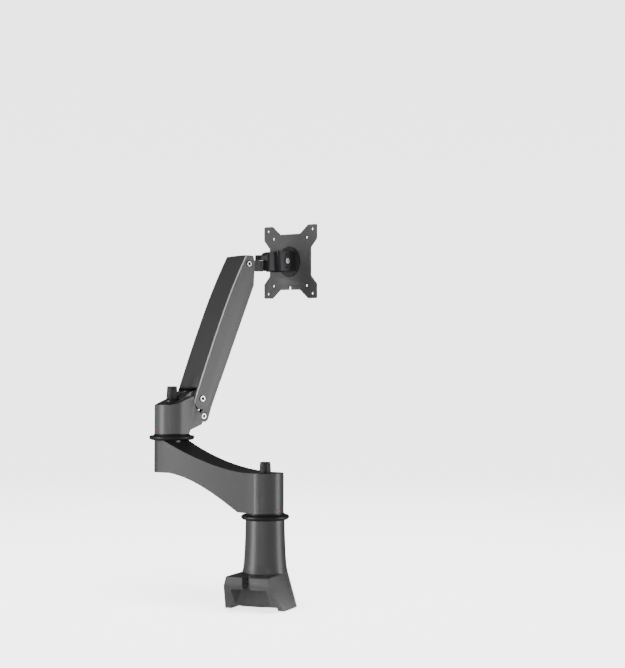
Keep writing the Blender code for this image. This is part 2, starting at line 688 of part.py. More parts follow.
def make_tilt_block(paints, joint):
    """Clevis whose two cheeks straddle the tongue, about the tilt pin."""
    half, cheek, back, web, front = BLOCK_HALF, 9.0, -18.0, 13.0, 16.2
    outline = rounded(
        [
            (front, half, 0), (back, half, 4.5), (back, cheek, 0), (web, cheek, 0),
            (web, -cheek, 0), (back, -cheek, 0), (back, -half, 4.5), (front, -half, 0),
        ],
        4,
    )
    body = prism(outline, -BLOCK_HEIGHT / 2, BLOCK_HEIGHT / 2)
    block = piece("tilt_block", body, paints["charcoal"], joint)
    cut(block, rod(5.0, -30, 30, "Y", steps=20), rod(3.3, 5, 30, "X", steps=16))
    for sign in (-1, 1):
        low, high = sorted((sign * 15.6, sign * 30))
        cut(block, rod(6.2, low, high, "Y", steps=20))
        deep_low, deep_high = sorted((sign * 13.5, sign * 30))
        for height in (-9.6, 9.6):
            cut(block, rod(1.3, deep_low, deep_high, "Y", (-1.8, 0, height), 10))
        label = "right" if sign < 0 else "left"
        inner, outer = sorted((sign * 7.5, sign * 8.8))
        ring = [(10, outer), (10, inner), (5.0, inner), (5.0, outer)]
        piece(f"tilt_washer_{label}", turned(ring, 24, "Y", ring=True), paints["acetal"], joint)
    piece("tilt_pin", rod(4.7, -17.4, 17.4, "Y", steps=24), paints["zinc"], joint)

    face = VESA_X - TILT_X
    head = [(0, face + 2.3), (5.8, face + 2.3), (3.0, face - 0.6), (3.0, web + GAP), (0, web + GAP)]
    screw = piece("vesa_screw", turned(head, 20, "X"), paints["zinc"], joint)
    cut(screw, hexagon(2.0, face, face + 6, "X"))


def make_vesa(paints, joint):
    """Plate and the disc behind it, both turning about the centre screw. X points to the screen."""
    rim = [(DISC_R, -0.3), (DISC_R, -2.6), (DISC_R - 1.3, -3.9), (3.4, -3.9), (3.4, -0.3)]
    disc = piece("rotation_disc", turned(rim, 48, "X", ring=True), paints["charcoal"], joint)

    ear = [(59, 35, 2), (59, 57.5, 2.5), (41, 57.5, 2.5), (23, 44, 3)]
    waist = [(46, 22, 3)]
    quarter = waist + ear
    right_top = quarter
    left_top = [(-y, z, r) for y, z, r in reversed(quarter)]
    left_low = [(-y, -z, r) for y, z, r in quarter]
    right_low = [(y, -z, r) for y, z, r in reversed(quarter)]
    notch = [(-2.8, -44, 0.8), (-2.8, -38, 2.4), (2.8, -38, 2.4), (2.8, -44, 0.8)]
    outline = rounded(right_top + left_top + left_low + notch + right_low)
    corners = [(y, z) for y in (-1, 1) for z in (-1, 1)]
    pitches = (VESA_HOLES, VESA_SMALL_HOLES)
    holes = [circle((y * pitch, z * pitch), 2.4, 14) for pitch in pitches for y, z in corners]
    plate = piece("vesa_plate", prism(outline, 0, PLATE_THICKNESS, "YZ", holes), paints["plate"], joint)
    cut(plate, rod(3.3, -0.6, 3.0, "X", steps=20, end_radius=6.7))

    for number, (y, z) in enumerate(corners, 1):
        at = (0, 12 * y, 12 * z)
        bore = rod(2.3, -8, 8, "X", at, 14)
        cut(disc, bore)
        cut(plate, bore.copy(), rod(2.3, 0.9, 2.9, "X", at, 14, end_radius=4.3))
        rivet = piece(f"disc_rivet_{number}", rod(2.0, -3.7, 2.3, "X", at, 14), paints["zinc"], joint)
        join(rivet, rod(2.0, 1.0, 2.3, "X", at, 14, end_radius=3.3))


# ---------------------------------------------------------------- assembly


def main():
    clear_scene()
    for name in (PARTS, TOOLS):
        collection(name)
    paints = make_materials()
    root = frame("monitor_arm", None, (0, 0, 0))
    make_base(paints, root)

    link = frame("lower_swivel", root, (0, 0, 0), LINK_TURN)
    make_lower_link(paints, link)
    swivel_frame = frame("link_high_end", link, (LINK_LENGTH, 0, 0), ARM_TURN - LINK_TURN)
    swivel_set("link", paints, swivel_frame, 176 + GAP, 250.0, LINK_HIGH_TOP_Z)
    make_knob("lower_knob", paints, frame("lower_knob_turn", link, (0, 0, 0)), 164.7)

    knuckle = frame("upper_swivel", link, (LINK_LENGTH, 0, 0), ARM_TURN - LINK_TURN)
    make_knuckle(paints, knuckle)
    make_knob("upper_knob", paints, frame("upper_knob_turn", knuckle, (0, 0, 0)), 267.6)

    pivot_x, pivot_z = LIFT_PIVOT
    lift = frame("lift", knuckle, (pivot_x, 0, pivot_z), -ARM_RISE, "Y")
    make_arm(paints, lift)
    bar_place = (pivot_x + BAR_OFFSET[0], 0, pivot_z + BAR_OFFSET[1])
    make_lower_bar(paints, frame("bar_pivot", knuckle, bar_place, -ARM_RISE, "Y"))

    foot_x, foot_z = spring_foot()
    rise = math.radians(ARM_RISE)
    high_x = pivot_x + SPRING_HIGH[0] * math.cos(rise) - SPRING_HIGH[1] * math.sin(rise)
    high_z = pivot_z + SPRING_HIGH[0] * math.sin(rise) + SPRING_HIGH[1] * math.cos(rise)
    slope = math.degrees(math.atan2(high_z - foot_z, high_x - foot_x))
    place = (SPRING_HIGH[0], 0, SPRING_HIGH[1])
    cylinder = frame("spring_pivot", lift, place, ARM_RISE - slope, "Y")
    stem = frame("spring_slide", cylinder, (0, 0, 0))
    make_spring(paints, cylinder, stem, math.hypot(high_x - foot_x, high_z - foot_z))

    head = frame("head_level", lift, (ARM_LENGTH, 0, 0), ARM_RISE, "Y")
    make_head_bracket(paints, head)
    turn = frame("head_swivel", head, (BARREL_X, 0, 0))
    make_head_link(paints, turn)
    tilt = frame("head_tilt", turn, (TILT_X - BARREL_X, 0, TILT_Z), -TILT_POSE, "Y")
    make_tilt_block(paints, tilt)
    make_vesa(paints, frame("screen_turn", tilt, (VESA_X - TILT_X, 0, 0), TURN_POSE, "X"))


main()
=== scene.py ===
"""Looks of the monitor arm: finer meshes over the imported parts, finishes, a pale studio and the camera."""

import json
import math

import bmesh
import bpy
from mathutils import Matrix, Vector

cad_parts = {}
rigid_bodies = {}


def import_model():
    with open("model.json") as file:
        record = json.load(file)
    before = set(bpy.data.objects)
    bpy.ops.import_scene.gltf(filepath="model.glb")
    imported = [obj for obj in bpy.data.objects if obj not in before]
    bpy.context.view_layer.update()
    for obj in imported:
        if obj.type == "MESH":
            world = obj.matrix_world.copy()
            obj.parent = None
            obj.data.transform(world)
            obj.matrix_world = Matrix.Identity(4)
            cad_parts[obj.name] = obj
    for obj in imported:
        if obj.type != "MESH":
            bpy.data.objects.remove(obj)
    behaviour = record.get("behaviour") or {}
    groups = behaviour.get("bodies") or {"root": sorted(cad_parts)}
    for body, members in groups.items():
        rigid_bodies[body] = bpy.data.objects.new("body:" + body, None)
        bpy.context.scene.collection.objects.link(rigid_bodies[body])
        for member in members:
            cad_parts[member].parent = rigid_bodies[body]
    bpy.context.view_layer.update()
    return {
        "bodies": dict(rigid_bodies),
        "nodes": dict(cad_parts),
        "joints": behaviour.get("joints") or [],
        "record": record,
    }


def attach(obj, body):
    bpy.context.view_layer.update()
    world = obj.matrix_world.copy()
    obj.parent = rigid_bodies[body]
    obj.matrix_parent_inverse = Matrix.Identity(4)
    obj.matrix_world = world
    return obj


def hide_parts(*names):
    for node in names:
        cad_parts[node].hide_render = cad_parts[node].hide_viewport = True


MM = 0.001
GAP = 0.3

# The arm's driving sizes, in mm and degrees, as in the CAD source
LINK_LENGTH, LINK_TURN, ARM_TURN = 185.0, 160.6, 66.7
SEAT_Z, LIP_Z, DECK_Z, POST_TOP_Z = 0.0, -4.5, 41.0, 110.6
COLLAR_HEIGHT, COLLAR_R = 8.8, 32.5
LINK_LOW_TOP_Z, LINK_HIGH_BOTTOM_Z, LINK_HIGH_TOP_Z = 173.5, 167.8, 213.3
KNUCKLE_BOTTOM_Z = 222.7
SHAFT_R, BUSH_R, JOINT_R, BOLT_R, SOCKET_R, SWIVEL_R = 15.0, 18.0, 25.0, 4.0, 2.9, 3.0
LIFT_PIVOT, BAR_OFFSET = (37.5, 273.0), (7.0, -25.5)
ARM_LENGTH, ARM_RISE = 222.0, 66.0
ARM_HALF, WALL, CROWN, CHAMFER = 23.0, 3.2, 3.5, 1.2
BAR_HALF, TONGUE_HALF = 19.5, 15.9
SPRING_LOW, SPRING_HIGH = 12.8, (178.0, 1.5)
BARREL_X, BARREL_R, BARREL_BOTTOM, BARREL_TOP = 42.7, 6.6, -6.8, 8.5
LUG_R, LUG_BOTTOM, LUG_TOP = 6.6, 10.2, 17.7
TILT_X, TILT_Z, TILT_POSE, TURN_POSE = 87.2, 11.2, 2.5, 2.5
BLOCK_HALF, BLOCK_HEIGHT = 16.5, 31.0
VESA_X, VESA_HOLES, VESA_SMALL_HOLES = 107.7, 50.0, 37.5
PLATE_THICKNESS, DISC_R = 2.5, 23.75
RIVET_PITCH = 12.0

# The studio, in metres
MIDDLE = (-0.08, 0.06, 0.27)
FLOOR_R, FLOOR_CURVE_R, WALL_TOP = 2.6, 1.4, 6.0


# ---------------------------------------------------------------- outlines, in mm


def arc(centre, radius, start, end, steps):
    angles = [math.radians(start + (end - start) * i / steps) for i in range(steps + 1)]
    return [(centre[0] + radius * math.cos(a), centre[1] + radius * math.sin(a)) for a in angles]


def circle(centre, radius, steps=48):
    return arc(centre, radius, 0, 360, steps)[:-1]


def hull(points):
    """Convex outline round the points, counter-clockwise."""
    ordered = sorted(set(points))

    def chain(run):
        kept = []
        for x, y in run:
            while len(kept) > 1:
                (ax, ay), (bx, by) = kept[-2:]
                if (bx - ax) * (y - ay) - (by - ay) * (x - ax) > 1e-9:
                    break
                kept.pop()
            kept.append((x, y))
        return kept[:-1]

    return chain(ordered) + chain(ordered[::-1])


def rounded(corners, steps=8):
    """An outline from (x, y, radius) corners, each rounded by an arc."""
    points = []
    for i, (x, y, radius) in enumerate(corners):
        (ax, ay, _), (bx, by, _) = corners[i - 1], corners[(i + 1) % len(corners)]
        if not radius:
            points.append((x, y))
            continue
        before, after = math.atan2(ay - y, ax - x), math.atan2(by - y, bx - x)
        turn = (after - before + math.pi) % (2 * math.pi) - math.pi
        reach = radius / math.tan(abs(turn) / 2)
        middle = before + turn / 2
        depth = math.hypot(reach, radius)
        centre = (x + depth * math.cos(middle), y + depth * math.sin(middle))
        first = (x + reach * math.cos(before), y + reach * math.sin(before))
        start = math.atan2(first[1] - centre[1], first[0] - centre[0])
        sweep = math.copysign(math.pi - abs(turn), -turn)
        for j in range(steps + 1):
            angle = start + sweep * j / steps
            points.append((centre[0] + radius * math.cos(angle), centre[1] + radius * math.sin(angle)))
    return points


def curve_through(points, steps=6):
    """Points on a smooth curve through the given ones."""
    padded = [points[0], *points, points[-1]]
    found = []
    for a, b, c, d in zip(padded, padded[1:], padded[2:], padded[3:]):
        for i in range(steps):
            t = i / steps
            weights = (2 * t**2 - t - t**3, 2 - 5 * t**2 + 3 * t**3, t + 4 * t**2 - 3 * t**3, t**3 - t**2)
            pairs = [zip(weights, values) for values in zip(a, b, c, d)]
            found.append(tuple(sum(w * v for w, v in pair) / 2 for pair in pairs))
    return found + [points[-1]]


# ---------------------------------------------------------------- meshes


def read_back(obj):
    """The evaluated mesh of a helper object, which is then removed."""
    graph = bpy.context.evaluated_depsgraph_get()
    mesh = bpy.data.meshes.new_from_object(obj.evaluated_get(graph))
    bpy.data.objects.remove(obj, do_unlink=True)
    return mesh


def helper(mesh):
    obj = bpy.data.objects.new("helper", mesh)
    bpy.context.scene.collection.objects.link(obj)
    return obj


def cleaned(mesh):
    shape = bmesh.new()
    shape.from_mesh(mesh)
    bmesh.ops.remove_doubles(shape, verts=shape.verts, dist=1e-7)
    bmesh.ops.recalc_face_normals(shape, faces=shape.faces)
    shape.to_mesh(mesh)
    shape.free()
    return mesh


def moved(mesh, matrix):
    mesh.transform(matrix)
    if matrix.determinant() < 0:
        mesh.flip_normals()
    return mesh


SIDEWAYS = Matrix(((1, 0, 0, 0), (0, 0, 1, 0), (0, 1, 0, 0), (0, 0, 0, 1)))
FACING = Matrix(((0, 0, 1, 0), (1, 0, 0, 0), (0, 1, 0, 0), (0, 0, 0, 1)))
PLANES = {"XY": Matrix(), "XZ": SIDEWAYS, "YZ": FACING}


def prism(outline, low, high, plane="XY", holes=()):
    """A flat outline in the named plane, extruded from low to high along the third axis."""
    curve = bpy.data.curves.new("outline", "CURVE")
    curve.dimensions = "2D"
    curve.fill_mode = "BOTH"
    curve.extrude = MM * (high - low) / 2
    for loop in (outline, *holes):
        spline = curve.splines.new("POLY")
        spline.points.add(len(loop) - 1)
        for point, (a, b) in zip(spline.points, loop):
            point.co = (MM * a, MM * b, 0, 1)
        spline.use_cyclic_u = True
    mesh = cleaned(read_back(helper(curve)))
    return moved(mesh, PLANES[plane] @ Matrix.Translation((0, 0, MM * (low + high) / 2)))


def along(mesh, axis):
    if axis == "X":
        return moved(mesh, Matrix.Rotation(math.pi / 2, 4, "Y"))
    if axis == "Y":
        return moved(mesh, Matrix.Rotation(-math.pi / 2, 4, "X"))
    return mesh


def rod(radius, low, high, axis="Z", at=(0, 0, 0), steps=48, end_radius=None):
    shape = bmesh.new()
    top = radius if end_radius is None else end_radius
    bmesh.ops.create_cone(
        shape, cap_ends=True, segments=steps, radius1=MM * radius, radius2=MM * top, depth=MM * (high - low)
    )
    bmesh.ops.translate(shape, verts=shape.verts, vec=(0, 0, MM * (low + high) / 2))
    mesh = bpy.data.meshes.new("rod")
    shape.to_mesh(mesh)
    shape.free()
    along(mesh, axis)
    return moved(mesh, Matrix.Translation([MM * value for value in at]))


def box(x, y, z):
    shape = bmesh.new()
    bmesh.ops.create_cube(shape, size=1.0)
    for vert in shape.verts:
        vert.co = [MM * pair[value > 0] for pair, value in zip((x, y, z), vert.co)]
    mesh = bpy.data.meshes.new("box")
    shape.to_mesh(mesh)
    shape.free()
    return mesh


def turned(profile, steps=96, axis="Z", ring=False):
    """A (radius, height) profile turned round the axis. A ring's profile is a closed loop off the axis."""
    mesh = bpy.data.meshes.new("profile")
    count = len(profile)
    edges = [(i, i + 1) for i in range(count - 1)] + ([(count - 1, 0)] if ring else [])
    mesh.from_pydata([(MM * r, 0, MM * z) for r, z in profile], edges, [])
    obj = helper(mesh)
    screw = obj.modifiers.new("Screw", "SCREW")
    screw.steps = screw.render_steps = steps
    screw.use_merge_vertices = True
    screw.merge_threshold = 1e-5
    return along(cleaned(read_back(obj)), axis)


def loft(sections):
    """A closed skin through rings of points, all with the same number of points, capped at both ends."""
    shape = bmesh.new()
    rings = [[shape.verts.new([MM * v for v in point]) for point in ring] for ring in sections]
    count = len(rings[0])
    for ring, following in zip(rings, rings[1:]):
        for i in range(count):
            j = (i + 1) % count
            shape.faces.new((ring[i], ring[j], following[j], following[i]))
    shape.faces.new(rings[0][::-1])
    shape.faces.new(rings[-1])
    bmesh.ops.recalc_face_normals(shape, faces=shape.faces)
    mesh = bpy.data.meshes.new("loft")
    shape.to_mesh(mesh)
    shape.free()
    return mesh


def combined(mesh, operation, tools):
    obj = helper(mesh)
    others = [helper(tool) for tool in tools]
    for other in others:
        modifier = obj.modifiers.new("Boolean", "BOOLEAN")
        modifier.operation = operation
        modifier.object = other
    result = read_back(obj)
    for other in others:
        bpy.data.objects.remove(other, do_unlink=True)
    return result


def cut(mesh, *tools):
    return combined(mesh, "DIFFERENCE", tools)


def join(mesh, *tools):
    return combined(mesh, "UNION", tools)


def keep(mesh, *tools):
    return combined(mesh, "INTERSECT", tools)


def softened(mesh, width, segments=2, angle=32.0):
    """The mesh with its sharp edges rounded, so that they catch the light."""
    obj = helper(mesh)
    weld = obj.modifiers.new("Weld", "WELD")
    weld.merge_threshold = 2e-6
    tidy = obj.modifiers.new("Flat", "DECIMATE")
    tidy.decimate_type = "DISSOLVE"
    tidy.angle_limit = math.radians(0.3)
    bevel = obj.modifiers.new("Bevel", "BEVEL")
    bevel.width = MM * width
    bevel.segments = segments
    bevel.limit_method = "ANGLE"
    bevel.angle_limit = math.radians(angle)
    bevel.miter_outer = "MITER_ARC"
    return read_back(obj)


def frame(parent, place, turn=0.0, axis="Z"):
    shift = Matrix.Translation([MM * value for value in place])
    return parent @ shift @ Matrix.Rotation(math.radians(turn), 4, axis)


ROOT = Matrix()
LINK = frame(ROOT, (0, 0, 0), LINK_TURN)
LINK_END = frame(LINK, (LINK_LENGTH, 0, 0), ARM_TURN - LINK_TURN)
LIFT = frame(LINK_END, (LIFT_PIVOT[0], 0, LIFT_PIVOT[1]), -ARM_RISE, "Y")
BAR_PIVOT = (LIFT_PIVOT[0] + BAR_OFFSET[0], 0, LIFT_PIVOT[1] + BAR_OFFSET[1])
BAR = frame(LINK_END, BAR_PIVOT, -ARM_RISE, "Y")
HEAD = frame(LIFT, (ARM_LENGTH, 0, 0), ARM_RISE, "Y")
NECK = frame(HEAD, (BARREL_X, 0, 0))
TILT = frame(NECK, (TILT_X - BARREL_X, 0, TILT_Z), -TILT_POSE, "Y")
SCREEN = frame(TILT, (VESA_X - TILT_X, 0, 0), TURN_POSE, "X")


# ---------------------------------------------------------------- finishes


def nodes_of(material):
    material.use_nodes = True
    tree = material.node_tree
    return tree, tree.nodes["Principled BSDF"]


def add_node(tree, kind, **settings):
    node = tree.nodes.new(kind)
    for key, value in settings.items():
        if key in node.inputs:
            node.inputs[key].default_value = value
        else:
            setattr(node, key, value)
    return node


def finish(
    name, colour, roughness, metallic=0.0, grain=900.0, bump=0.05, spread=0.06, shade=0.08, edge_highlight=0.0
):
    """A procedural finish: mottled colour and roughness, fine grain in relief, and a painted highlight that
    mixes sharp edges towards a lighter colour.
    """
    material = bpy.data.materials.new(name)
    tree, shader = nodes_of(material)
    shader.inputs["Metallic"].default_value = metallic
    place = add_node(tree, "ShaderNodeTexCoord").outputs["Object"]

    broad = add_node(tree, "ShaderNodeTexNoise", Scale=35.0, Detail=3.0)
    fine = add_node(tree, "ShaderNodeTexNoise", Scale=grain, Detail=4.0, Roughness=0.6)
    for noise in (broad, fine):
        tree.links.new(place, noise.inputs["Vector"])

    tint = add_node(tree, "ShaderNodeMix", data_type="RGBA")
    tint.inputs[6].default_value = (*[c * (1 - shade) for c in colour], 1)
    tint.inputs[7].default_value = (*[min(1, c * (1 + shade)) for c in colour], 1)
    tree.links.new(broad.outputs["Fac"], tint.inputs[0])
    paint = tint.outputs[2]
    # Painted highlight: where pointiness is high, on sharp edges, the colour is mixed towards a lighter
    # grey.
    if edge_highlight:
        edge = add_node(tree, "ShaderNodeNewGeometry").outputs["Pointiness"]
        ramp = add_node(tree, "ShaderNodeMapRange")
        ramp.inputs["From Min"].default_value = 0.52
        ramp.inputs["From Max"].default_value = 0.62
        ramp.inputs["To Max"].default_value = edge_highlight
        tree.links.new(edge, ramp.inputs["Value"])
        edge_lit = add_node(tree, "ShaderNodeMix", data_type="RGBA")
        edge_lit.inputs[7].default_value = (*[min(1, 2.2 * c + 0.05) for c in colour], 1)
        tree.links.new(ramp.outputs["Result"], edge_lit.inputs[0])
        tree.links.new(paint, edge_lit.inputs[6])
        paint = edge_lit.outputs[2]
    tree.links.new(paint, shader.inputs["Base Color"])

    gloss = add_node(tree, "ShaderNodeMapRange")
    gloss.inputs["To Min"].default_value = max(0.05, roughness - spread)
    gloss.inputs["To Max"].default_value = roughness + spread
    tree.links.new(fine.outputs["Fac"], gloss.inputs["Value"])
    tree.links.new(gloss.outputs["Result"], shader.inputs["Roughness"])

    relief = add_node(tree, "ShaderNodeBump", Strength=bump)
    relief.inputs["Distance"].default_value = 0.0002
    tree.links.new(fine.outputs["Fac"], relief.inputs["Height"])
    tree.links.new(relief.outputs["Normal"], shader.inputs["Normal"])
    return material


def make_finishes():
    return {
        # The edge amounts below set how much sharp edges are painted lighter, as a painted highlight.
        "graphite_coat": finish("graphite powder coat", (0.07, 0.07, 0.072), 0.37, bump=0.2, edge_highlight=0.25),
        "charcoal_coat": finish("charcoal powder coat", (0.032, 0.032, 0.035), 0.45, bump=0.25, edge_highlight=0.2),
        "plate_coat": finish("plate powder coat", (0.105, 0.105, 0.108), 0.75, bump=0.25, edge_highlight=0.2),
        "black_plastic": finish("black moulded plastic", (0.02, 0.02, 0.021), 0.4, grain=1500, bump=0.15),
        "black_enamel": finish("black enamel", (0.01, 0.01, 0.011), 0.22, bump=0.03),
        "zinc_steel": finish("zinc-plated steel", (0.86, 0.87, 0.88), 0.3, 1.0, 600, 0.05, 0.07, 0.03),
        "dark_steel": finish("blackened steel", (0.09, 0.09, 0.095), 0.36, 1.0, 700, 0.08, 0.08, 0.05),
        "white_acetal": finish("white acetal", (0.75, 0.74, 0.7), 0.38, grain=1200, bump=0.05, shade=0.03),
        # Painted shade: a near-black finish for the inside of bolt sockets, where shade falls.
        "socket": finish("painted socket shade", (0.006, 0.006, 0.006), 0.7, bump=0.0),
        # Painted highlight: a light grey finish for the arm's chamfers, in place of the light they catch.
        "chamfer_highlight": finish("painted chamfer highlight", (0.75, 0.75, 0.75), 0.35, bump=0.05),
        "red_mark": finish("red paint", (0.5, 0.045, 0.055), 0.4, bump=0.05, shade=0.05),
    }


# ---------------------------------------------------------------- pieces


class Builder:
    """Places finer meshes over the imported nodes."""

    def __init__(self, cad, paints):
        self.paints = paints
        self.slots = {row["node"]: row["material_slot"] for row in cad["record"]["subparts"]}
        bodies = cad["record"]["behaviour"]["bodies"]
        self.bodies = {name: body for body, names in bodies.items() for name in names}
        for name, obj in cad["nodes"].items():
            self.coat(obj, self.slots[name])
            obj.data.shade_smooth()
            obj.data.set_sharp_from_angle(angle=math.radians(30))

    def coat(self, obj, slot):
        obj.data.materials.clear()
        obj.data.materials.append(self.paints[slot])

    def stand_in(self, node, mesh, place, angle=38.0):
        """Shows the mesh instead of the CAD node, on the same body and with the same finish."""
        mesh.transform(place)
        mesh.shade_smooth()
        mesh.set_sharp_from_angle(angle=math.radians(angle))
        obj = bpy.data.objects.new(f"{node}_fine", mesh)
        bpy.context.scene.collection.objects.link(obj)
        normals = obj.modifiers.new("Normals", "WEIGHTED_NORMAL")
        normals.keep_sharp = True
        self.coat(obj, self.slots[node])
        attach(obj, self.bodies[node])
        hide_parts(node)
        return obj


def flare(z):
    """Half-width of the foot at a height: it widens evenly from the deck down to the lips."""
    return 30.0 + 13.0 * (DECK_Z - z) / (DECK_Z - LIP_Z)


def make_base(build):
    """Post that flares into the wedge foot, with the pocket, nose slot and screw bores in it."""
    wall = [(26.3, POST_TOP_Z), (26.6, 95), (27.2, 78), (28.3, 58)]
    wall += [(30, 44), (33.6, 30), (38, 14), (43, LIP_Z)]
    post = turned([(0, POST_TOP_Z), *curve_through(wall), (0, LIP_Z)], 144)
    nose = arc((-57.4, DECK_Z - 1.6), 1.6, 90, 180, 8) + arc((-51.5, 31.5), 7.5, 180, 214, 12)
    side = [(0, LIP_Z), (0, DECK_Z)] + nose + [(-33.5, LIP_Z)]
    front = loft([[(sign * flare(z), y, z) for y, z in side] for sign in (-1, 1)])
    pocket = [(-80, 24), (-16, 24), (-39.6, 0), (-39.6, -8), (-80, -8)]
    screw_x, screw_z = -1.5, 32.5
    casting = cut(
        join(post, front),
        prism(pocket, -25.5, 25.5, "YZ"),
        box((-33.5, 33.5), (-70, 70), (LIP_Z - 3, SEAT_Z)),
        box((screw_x - 5, screw_x + 5), (-70, -41), (20, 50)),
        rod(5.4, -70, -37, "Y", (screw_x, 0, screw_z)),
        rod(3.3, -37.5, -12, "Y", (screw_x, 0, screw_z)),
        rod(SHAFT_R + GAP, 42, POST_TOP_Z + 5, steps=96),
        rod(3.3, 12, 35, "Y", (0, 0, 80)),
    )
    build.stand_in("base_casting", softened(casting, 0.7), ROOT)
    swivel_collar(build, "base_collar", ROOT, POST_TOP_Z)


def swivel_collar(build, node, place, bottom):
    """Saucer-shaped flange ring that a swivel turns on."""
    low = bottom + GAP
    rim = [(26.0, COLLAR_HEIGHT), (26.2, 7.5), (26.7, 7.1), (30.4, 6.8), (31.5, 6.1), (32.3, 5.0)]
    rim += [(COLLAR_R, 3.9), (32.3, 2.8), (31.6, 1.7), (30.2, 0.7), (28.0, 0)]
    bore = [(SHAFT_R + 0.4, 0), (SHAFT_R + 0.4, COLLAR_HEIGHT)]
    build.stand_in(node, turned([(r, low + z) for r, z in rim + bore], 144, ring=True), place)


def link_top(x):
    share = min(max((x - 10) / 166, 0), 1)
    return LINK_LOW_TOP_Z + (LINK_HIGH_TOP_Z - LINK_LOW_TOP_Z) * share**1.75


def link_bottom(x):
    share = min(max((x - 30) / 135, 0), 1)
    low = POST_TOP_Z + COLLAR_HEIGHT + 2 * GAP
    return low + (LINK_HIGH_BOTTOM_Z - low) * (1.35 * share - 0.35 * share**3)


def make_lower_link(build):
    """Link with two round ends and a narrow waist, hollowed from below in two pockets."""
    waist, half = 21.0, LINK_LENGTH / 2
    flank_r = (JOINT_R**2 - half**2 - waist**2) / (2 * (waist - JOINT_R))
    lean = math.degrees(math.atan2(half, flank_r + waist))
    left = arc((LINK_LENGTH, 0), JOINT_R, lean - 90, 90 - lean, 56)
    right = arc((0, 0), JOINT_R, 90 + lean, 270 - lean, 56)
    far = arc((half, waist + flank_r), flank_r, -90 + lean, -90 - lean, 24)[1:-1]
    near = arc((half, -waist - flank_r), flank_r, 90 + lean, 90 - lean, 24)[1:-1]
    ends = (-JOINT_R - 2, LINK_LENGTH + JOINT_R + 2)
    top_x = [10 + 166 * i / 32 for i in range(33)]
    bottom_x = [165 - 135 * i / 28 for i in range(29)]
    upper = [(ends[0], link_top(0))] + [(x, link_top(x)) for x in top_x] + [(ends[1], LINK_HIGH_TOP_Z)]
    lower = [(ends[1], LINK_HIGH_BOTTOM_Z)] + [(x, link_bottom(x)) for x in bottom_x]
    lower += [(ends[0], link_bottom(0))]
    casting = keep(prism(left + far + right + near, 100, 230), prism(upper + lower, -40, 40, "XZ"))
    pockets = []
    for start, end in ((29, 90), (95, 156)):
        sections = []
        for x in [start + (end - start) * i / 8 for i in range(9)]:
            side = waist + flank_r - math.sqrt(flank_r**2 - (x - half) ** 2) - 4.5
            roof = link_top(x) - 6
            sections.append([(x, -side, 100), (x, side, 100), (x, side, roof), (x, -side, roof)])
        pockets.append(loft(sections))
    casting = cut(
        casting,
        *pockets,
        rod(BUSH_R + GAP, 100, 160, steps=96),
        rod(BOLT_R + 0.4, 159, 180),
        rod(10.0, 164.4, 180, steps=72),
        rod(SHAFT_R + GAP, 176, 230, at=(LINK_LENGTH, 0, 0), steps=96),
        rod(2.0, -JOINT_R - 3, -JOINT_R + 2.5, "X", (0, 0, 123.2)),
    )
    build.stand_in("lower_link", softened(casting, 0.9, 3), LINK)


def make_knob(build, node, place, base):
    """Lock knob with upright ribs round its grip."""
    ribs, points = 26, 208
    profile = [(6.2, 23.4, 0), (6.9, 23.1, 0), (7.2, 22.5, 0.3), (8.15, 6.0, 0.3), (8.25, 5.2, 0)]
    profile += [(9.1, 3.3, 0), (9.3, 2.9, 0), (9.3, 0.3, 0), (9.0, 0, 0)]
    rings = []
    for radius, height, rib in reversed(profile):
        ring = []
        for i in range(points):
            angle = 2 * math.pi * i / points
            reach = radius - rib * (1 - abs(math.cos(ribs * angle / 2)))
            ring.append((reach * math.cos(angle), reach * math.sin(angle), base + height))
        rings.append(ring)
    stud_hole = rod(BOLT_R + GAP, base - 2, base + 14)
    dish = rod(5.0, base + 22.7, base + 26, steps=64)
    build.stand_in(node, cut(loft(rings), stud_hole, dish), place, 30)


def make_knuckle(build):
    """Round body with a sloping top, two cheeks and the tongue that enters the arm."""
    pivot_x, pivot_z = LIFT_PIVOT
    bar_x, bar_z = BAR_PIVOT[0], BAR_PIVOT[2]
    cheek = ARM_HALF + 0.4
    plan = arc((0, 0), JOINT_R, 88, 272, 80) + [(44, -cheek), (44, cheek)]
    low = KNUCKLE_BOTTOM_Z
    side = [(-30, low), (12, low), (15, low + 5.6), (36.7, low + 13)]
    side += arc((bar_x, bar_z), 8.9, 225, 165, 16)
    side += curve_through([(24.5, 260), (21.4, 267), (21.4, 276.4)], 5)
    side += curve_through([(11, 273.5), (0, 269.3), (-13, 265), (-30, 264)], 5)
    body = keep(prism(plan, 200, 300), prism(side, -40, 40, "XZ"))
    eyes = circle(LIFT_PIVOT, 13.3) + circle((bar_x, bar_z), 8.0) + circle((24, 278), 5.5)
    tongue = prism(hull(eyes + [(6, 230), (6, 272)]), -TONGUE_HALF, TONGUE_HALF, "XZ")
    share = SPRING_LOW / math.hypot(*BAR_OFFSET)
    spring = (pivot_x + share * BAR_OFFSET[0], 0, pivot_z + share * BAR_OFFSET[1])
    casting = cut(
        join(body, tongue),
        prism([(27, 310), (27, 250.5), (41, 250.5), (52, 243), (70, 243), (70, 310)], -7, 7, "XZ"),
        rod(6.2, -30, 30, "Y", spring),
        rod(BOLT_R + GAP, -30, 30, "Y", (pivot_x, 0, pivot_z)),
        rod(BOLT_R + GAP, -30, 30, "Y", (bar_x, 0, bar_z)),
        rod(BUSH_R + GAP, 200, 252, steps=96),
        rod(BOLT_R + 0.4, 251, 290),
        rod(10.6, 267.3, 300, steps=72),
        rod(4.2, 256, 300, at=(20.5, 0, 0)),
        rod(2.0, -JOINT_R - 3, -JOINT_R + 2.5, "X", (0, 0, 225.8)),
    )
    build.stand_in("knuckle", softened(casting, 0.8), LINK_END)


